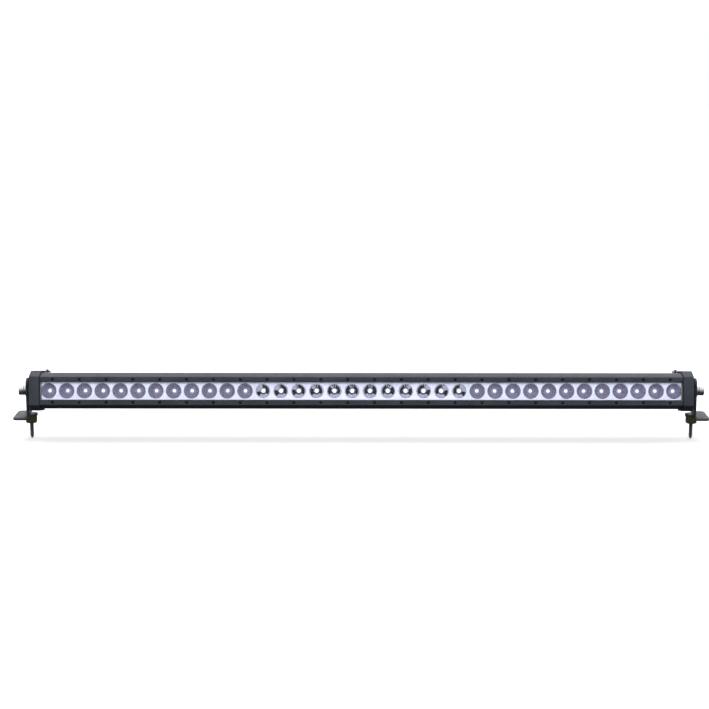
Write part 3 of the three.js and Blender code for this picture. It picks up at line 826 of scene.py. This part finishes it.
def make_pivot(name, side):
    """Spacer, flat washer, spring washer and bolt, from the cap outwards."""
    def stood(piece, x):
        piece.data.transform(LAMP @ at(side * x, 0, 0) @ facing(side))
        return piece

    spacer_low, spacer_high = lamp_box("pivot_spacer_right")
    width = spacer_high.x - spacer_low.x
    ring = spun(ring_profile(4.4 * MM, 10 * MM, width, 0.5 * MM), 56)
    spacer = add_object("nylon_spacer_" + name, ring)
    installed(stood(spacer, spacer_low.x), "lamp", NYLON, "black_nylon", "pivot_spacer_" + name)
    washer_low, _ = lamp_box("flat_washer_right")
    ring = spun(ring_profile(4.3 * MM, 8 * MM, FLAT_WASHER_THICKNESS, 0.2 * MM), 56)
    washer = add_object("plain_washer_" + name, ring)
    installed(stood(washer, washer_low.x), "lamp", STAINLESS, "stainless", "flat_washer_" + name)
    spring_low, spring_high = lamp_box("spring_washer_right")
    ring = split_ring(4.3 * MM, 6.3 * MM, SPRING_WASHER_THICKNESS, 0.25 * MM)
    spring = add_object("split_washer_" + name, ring)
    bevelled(spring, 0.15 * MM)
    installed(stood(spring, (spring_low.x + spring_high.x) / 2), "lamp", STAINLESS, "stainless",
              "spring_washer_" + name)
    _, bolt_high = lamp_box("tilt_bolt_right")
    bolt = socket_screw("socket_bolt_" + name, BOLT_HEAD_RADIUS, BOLT_HEAD_LENGTH, BOLT_RADIUS,
                        BOLT_REACH, BOLT_KEY)
    installed(stood(bolt, bolt_high.x - BOLT_HEAD_LENGTH), "lamp", STAINLESS, "stainless", "tilt_bolt_" + name)


def make_cap_screws(name, side):
    for i, (y, z) in enumerate(CAP_SCREW_YZ):
        screw = socket_screw(f"socket_screw_{name}_{i + 1}", CAP_SCREW_HEAD_RADIUS,
                             CAP_SCREW_HEAD_LENGTH, CAP_SCREW_RADIUS, CAP_SCREW_REACH, CAP_SCREW_KEY, 48)
        seat = lamp_box("cap_screw_right_1")[1].x - CAP_SCREW_HEAD_LENGTH
        screw.data.transform(LAMP @ at(side * seat, y, z) @ facing(side))
        installed(screw, "lamp", BLACK_STEEL, "black_steel", f"cap_screw_{name}_{i + 1}")
    x = side * (TONGUE_END_X + 3.8 * MM)
    head = add_object("roof_screw_" + name, spun(
        [(0, -5 * MM), (1.2 * MM, -5 * MM), (1.2 * MM, 0), (2.2 * MM, 0), (2.3 * MM, 0.4 * MM),
         (2.1 * MM, 1.1 * MM), (1.4 * MM, 1.5 * MM), (0, 1.6 * MM)], 28))
    for turn in (0, 1):
        slot = prism([(-0.25 * MM, 0.8 * MM), (0.25 * MM, 0.8 * MM), (0.25 * MM, 2 * MM),
                      (-0.25 * MM, 2 * MM)], -1.2 * MM, 1.2 * MM)
        carved(head, add_object("recess", slot, Matrix.Rotation(turn * math.pi / 2, 4, "Z")))
    head.data.transform(LAMP @ at(x, TONGUE_SCREW_Y, CAP_Z + GAP))
    installed(head, "lamp", BLACK_STEEL, "black_steel", "tongue_screw_" + name)


# ---- Brackets and feet ----
def arc(cx, cy, radius, start, end, steps):
    return [(cx + radius * math.cos(start + (end - start) * k / steps),
             cy + radius * math.sin(start + (end - start) * k / steps)) for k in range(steps + 1)]


bracket_low, bracket_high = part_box("bracket_right")
stud_low, stud_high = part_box("mounting_stud_right")
LEG_INNER_X = 483.4 * MM
PLATE_THICKNESS = 3 * MM
LEG_HALF_WIDTH = 10 * MM
LEG_TOP_Z = bracket_high.z
STUD_X = (stud_low.x + stud_high.x) / 2
STUD_Y = (stud_low.y + stud_high.y) / 2
STUD_RADIUS = 3 * MM
HEX_ACROSS_FLATS = 15 * MM
SPACER_HEIGHT = stud_high.z
FOOT_Z = bracket_low.z
LYING = Matrix(((0, 0, 1, 0), (0, 1, 0, 0), (1, 0, 0, 0), (0, 0, 0, 1)))   # swaps X and Z


def foot_outline(side):
    """The foot from above, as (y, x): a plate outside the leg, a round tab inside it."""
    corner, tab = 6 * MM, STUD_X - bracket_low.x
    inner = LEG_INNER_X + 0.4 * MM
    outer, front, back = bracket_high.x - corner, bracket_low.y, bracket_high.y
    outline = [(inner, front)]
    outline += arc(outer, front + corner, corner, -math.pi / 2, 0, 8)
    outline += arc(outer, back - corner, corner, 0, math.pi / 2, 8)
    outline += [(inner, back), (inner, STUD_Y + tab)]
    outline += arc(STUD_X, STUD_Y, tab, math.pi / 2, 1.5 * math.pi, 24)
    outline += [(inner, STUD_Y - tab)]
    return [(y, side * x) for x, y in outline]


def weld_bead(side, inwards):
    """A fillet along the corner between leg and foot."""
    size = 1.5 * MM
    section = [(-0.3 * MM, -0.3 * MM), (size, -0.3 * MM), (size, 0.0)]
    section += arc(size, size, size, -math.pi / 2, -math.pi, 8) + [(-0.3 * MM, size)]
    away = -side if inwards else side
    x = side * (LEG_INNER_X + (0 if inwards else PLATE_THICKNESS))
    stand = Matrix(((0, away, 0, x), (1, 0, 0, 0), (0, 0, 1, FOOT_Z + PLATE_THICKNESS), (0, 0, 0, 1)))
    half = LEG_HALF_WIDTH - (3 * MM if inwards else MM)
    shift = 2 * MM if inwards else 0
    return prism(section, shift - half, shift + half), stand


def make_bracket(name, side):
    foot_top = FOOT_Z + PLATE_THICKNESS
    outline = [(-LEG_HALF_WIDTH, foot_top - MM), (LEG_HALF_WIDTH, foot_top - MM)]
    outline += arc(0, LEG_TOP_Z - LEG_HALF_WIDTH, LEG_HALF_WIDTH, 0, math.pi, 32)
    hole = circle(0, PIVOT.z, 4.4 * MM, 48)
    x0, x1 = side * LEG_INNER_X, side * (LEG_INNER_X + PLATE_THICKNESS)
    bracket = add_object("strap_bracket_" + name, prism(outline, x0, x1, [hole]))
    bevelled(bracket, 0.35 * MM, 2, 50.0)
    plate = prism(foot_outline(side), FOOT_Z, foot_top)
    foot = bevelled(add_object("foot", plate, LYING), 0.35 * MM, 2, 50.0)
    # Blender's exact solver returns an empty mesh for this union, so the fast one joins them.
    carved(bracket, foot, "UNION", "FAST")
    for inwards in (True, False):
        bead, stand = weld_bead(side, inwards)
        carved(bracket, add_object("bead", bead, stand), "UNION", "FAST")
    installed(bracket, "feet", COATED_STEEL, "coated_steel", "bracket_" + name)


def threaded_stud():
    """A stud about Z with a helical thread, its top at the spacer's top and a cone at its tip."""
    length, pitch, depth = -stud_low.z, 1.0 * MM, 0.55 * MM
    columns, per_pitch = 36, 8
    bottom, cone, tip = -length, 5.5 * MM, 1.1 * MM
    rows = int((length + SPACER_HEIGHT) / pitch * per_pitch)
    bm = bmesh.new()
    grid = []
    for r in range(rows + 1):
        z = bottom + (length + SPACER_HEIGHT) * r / rows
        row = []
        for c in range(columns):
            phase = (z / pitch - c / columns) % 1.0
            wave = abs(2 * phase - 1)
            groove = depth * min(1.0, max(0.0, 1.25 * wave - 0.12))
            above = (z - bottom) / cone
            limit = STUD_RADIUS if above > 1 else tip + (STUD_RADIUS - tip) * above
            radius = min(STUD_RADIUS - groove, limit)
            angle = TAU * c / columns
            row.append(bm.verts.new((radius * math.cos(angle), radius * math.sin(angle), z)))
        grid.append(row)
    for one, two in zip(grid, grid[1:]):
        for c in range(columns):
            n = (c + 1) % columns
            bm.faces.new((one[c], one[n], two[n], two[c]))
    bm.faces.new(grid[0])
    bm.faces.new(grid[-1])
    return bm


def make_foot(name, side):
    stud = add_object("threaded_stud_" + name, threaded_stud(), at(side * STUD_X, STUD_Y, 0), 50.0)
    installed(stud, "feet", STUD_STEEL, "stud_steel", "mounting_stud_" + name)
    bore = circle(0, 0, STUD_RADIUS + GAP, 36)
    nut = prism(hexagon(HEX_ACROSS_FLATS), 0, SPACER_HEIGHT, [bore])
    body = add_object("hex_nut_" + name, nut, UPRIGHT)
    edge, face, rim = 1.1 * MM, 7.3 * MM, 8.9 * MM
    cone = spun([(0, 0), (face, 0), (rim, edge), (rim, SPACER_HEIGHT - edge),
                 (face, SPACER_HEIGHT), (0, SPACER_HEIGHT)], 72)
    carved(body, add_object("cone", cone), "INTERSECT")
    body.data.transform(at(side * STUD_X, STUD_Y, 0))
    installed(body, "feet", ZINC, "yellow_zinc", "hex_spacer_" + name)


# ---- Cable gland and breather vent ----
def make_gland():
    low, high = lamp_box("gland_body")
    middle = (low.x + high.x) / 2
    flange_y = CAP_BACK_Y + GAP
    nut = prism(hexagon(12 * MM, TAU / 12), 0, 4 * MM)
    neck = spun([(0, -6 * MM), (4 * MM, -6 * MM), (4 * MM, 9.6 * MM), (3 * MM, 9.6 * MM), (3 * MM, 8 * MM),
                 (0, 8 * MM)], 40)
    base = bevelled(add_object("gland_hexagon", nut, UPRIGHT), 0.4 * MM)
    carved(base, add_object("neck", neck), "UNION")
    base.data.transform(LAMP @ at(middle, flange_y, 0) @ BACKWARDS)
    installed(base, "lamp", NYLON, "black_nylon", "gland_body")

    def ribbed(radius, height, angle):
        return radius - (0.28 * MM * (1 + math.cos(12 * angle)) if radius > 5.9 * MM else 0)

    dome = spun([(4.4 * MM, 0), (6 * MM, 0), (6 * MM, 1.5 * MM), (6 * MM, 3 * MM), (6 * MM, 4.4 * MM),
                 (5.6 * MM, 5.4 * MM), (4.9 * MM, 6.8 * MM), (4.1 * MM, 7.5 * MM), (3.3 * MM, 7.6 * MM),
                 (3.2 * MM, 7.2 * MM), (3.2 * MM, 6.3 * MM), (4.4 * MM, 6.3 * MM)], 96, ribbed)
    nut_y = lamp_box("gland_nut")[0].y
    cap = add_object("dome_nut", dome, LAMP @ at(middle, nut_y, 0) @ BACKWARDS)
    installed(cap, "lamp", NYLON, "black_nylon", "gland_nut")
    vent = spun([(0, -4 * MM), (4 * MM, -4 * MM), (4 * MM, 0), (5.5 * MM, 0), (5.6 * MM, 0.3 * MM),
                 (5.6 * MM, 1.9 * MM), (5.2 * MM, 2.5 * MM), (4.2 * MM, 2.6 * MM), (4.2 * MM, 2.1 * MM),
                 (3.4 * MM, 2.1 * MM), (3.4 * MM, 3.0 * MM), (3.0 * MM, 3.2 * MM), (0, 3.2 * MM)], 64)
    button = add_object("vent_button", vent, LAMP @ at(-middle, flange_y, 0) @ BACKWARDS)
    installed(button, "lamp", NYLON, "black_nylon", "breather_vent")


# ---- CAD pieces that keep their shape ----
def dress(material, *nodes):
    for node in nodes:
        data = frame["nodes"][node].data
        data.materials.clear()
        data.materials.append(material)


# ---- Stage, camera and light ----
def make_floor():
    bm = bmesh.new()
    bmesh.ops.create_grid(bm, x_segments=1, y_segments=1, size=30.0)
    floor = add_object("floor", bm, at(0, 0, cad_box[0].z - 0.05 * MM))
    finish = Finish("pale_floor", (0.94, 0.94, 0.94), 0.85)
    floor.data.materials.append(finish.material)
    floor.visible_diffuse = False
    floor.visible_glossy = False


VIEW_ELEVATION = math.radians(13)
VIEW_DISTANCE = 2.5
VIEW_LENS = 87.27
AIM_OFFSET = Vector((-0.0096, 0, 0.0539))


def make_camera():
    """At the front, a little above, aimed so that the bar lies just below the frame's middle."""
    camera = bpy.data.objects.new("camera", bpy.data.cameras.new("camera"))
    bpy.context.scene.collection.objects.link(camera)
    camera.data.sensor_width = 36.0
    camera.data.lens = VIEW_LENS
    camera.data.clip_end = 200.0
    back = Vector((0, -math.cos(VIEW_ELEVATION), math.sin(VIEW_ELEVATION)))
    camera.location = PIVOT + back * VIEW_DISTANCE
    aim = PIVOT + AIM_OFFSET
    camera.rotation_euler = (aim - camera.location).to_track_quat("-Z", "Y").to_euler()
    bpy.context.scene.camera = camera


def area_light(name, place, target, size, power, mirrored_too=True):
    light = bpy.data.lights.new(name, "AREA")
    light.shape = "RECTANGLE"
    light.size, light.size_y = size
    light.energy = power
    lamp = bpy.data.objects.new(name, light)
    lamp.location = place
    lamp.rotation_euler = (Vector(target) - Vector(place)).to_track_quat("-Z", "Y").to_euler()
    lamp.visible_glossy = mirrored_too
    bpy.context.scene.collection.objects.link(lamp)


def make_world():
    """A bright studio, dark in front of the bar and below it."""
    world = bpy.data.worlds.new("studio")
    bpy.context.scene.world = world
    world.use_nodes = True
    tree = world.node_tree
    axes = tree.nodes.new("ShaderNodeSeparateXYZ")
    tree.links.new(tree.nodes.new("ShaderNodeTexCoord").outputs["Generated"], axes.inputs["Vector"])
    levels = []
    for axis, dark, bright in (("Y", -0.78, -0.60), ("Z", 0.32, 0.48), ("Z", -0.25, -0.06)):
        level = tree.nodes.new("ShaderNodeMapRange")
        level.inputs["From Min"].default_value = dark
        level.inputs["From Max"].default_value = bright
        tree.links.new(axes.outputs[axis], level.inputs["Value"])
        levels.append(level.outputs["Result"])
    brightest = tree.nodes.new("ShaderNodeMath")
    brightest.operation = "MAXIMUM"
    tree.links.new(levels[0], brightest.inputs[0])
    tree.links.new(levels[1], brightest.inputs[1])
    above = tree.nodes.new("ShaderNodeMath")
    above.operation = "MULTIPLY"
    tree.links.new(brightest.outputs[0], above.inputs[0])
    tree.links.new(levels[2], above.inputs[1])
    room = tree.nodes.new("ShaderNodeMix")
    room.data_type = "RGBA"
    tree.links.new(above.outputs[0], room.inputs[0])
    room.inputs[6].default_value = (0.045, 0.045, 0.05, 1)
    room.inputs[7].default_value = (1.0, 1.0, 1.02, 1)
    tree.links.new(room.outputs[2], tree.nodes["Background"].inputs["Color"])
    tree.nodes["Background"].inputs["Strength"].default_value = 1.1


def make_lights():
    area_light("overhead", (0, 0.3, 2.2), (0, 0, 0), (3.0, 1.6), 30)
    area_light("front", (0, -1.9, 1.1), (0, 0, 0), (2.6, 1.2), 44, mirrored_too=False)


# ---- Build ----
make_floor()
make_camera()
make_world()
make_lights()
make_housing()
make_retainers()
make_lens()
make_reflectors()
make_collimators()
make_leds()
make_pegs()
for side_name, side_sign in SIDES:
    make_end_cap(side_name, side_sign)
    make_pivot(side_name, side_sign)
    make_cap_screws(side_name, side_sign)
    make_bracket(side_name, side_sign)
    make_foot(side_name, side_sign)
make_gland()
dress(RUBBER, "lens_gasket", "end_gasket_left", "end_gasket_right", "gland_seal")
dress(BOARD_WHITE, "led_board_left", "led_board_centre", "led_board_right")
dress(PAD, "thermal_pad_left", "thermal_pad_centre", "thermal_pad_right")
dress(BOARD_GREEN, "driver_board")
dress(STAINLESS, "pivot_insert_left", "pivot_insert_right")

bpy.context.scene.view_settings.view_transform = "Standard"
